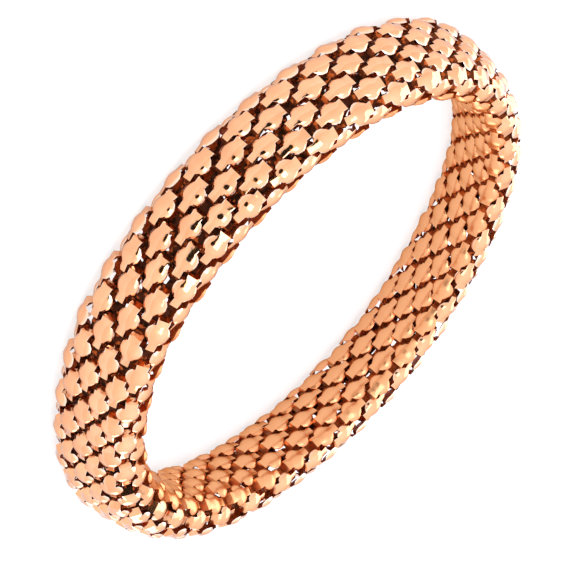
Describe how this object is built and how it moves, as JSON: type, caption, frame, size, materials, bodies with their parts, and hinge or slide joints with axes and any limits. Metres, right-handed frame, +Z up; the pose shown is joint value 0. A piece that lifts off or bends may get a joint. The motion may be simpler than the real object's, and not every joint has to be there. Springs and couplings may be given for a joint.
{
  "type": "mesh bracelet",
  "caption": "Endless, hollow oval band woven from staggered rows of polished domed links, to slip over the hand as a bracelet.",
  "frame": {"origin": "middle of the ring on the surface that the bracelet lies on, at the level of its lowest domes", "axes": "+Z up the ring's axis; X and Y in the ring's plane, which looks alike all round"},
  "size_m": [0.0674, 0.0674, 0.0098],
  "materials": {
    "rose_gold": "high polish"
  },
  "bodies": {
    "root": {"mesh_band": "rose_gold"}
  },
  "joints": []
}
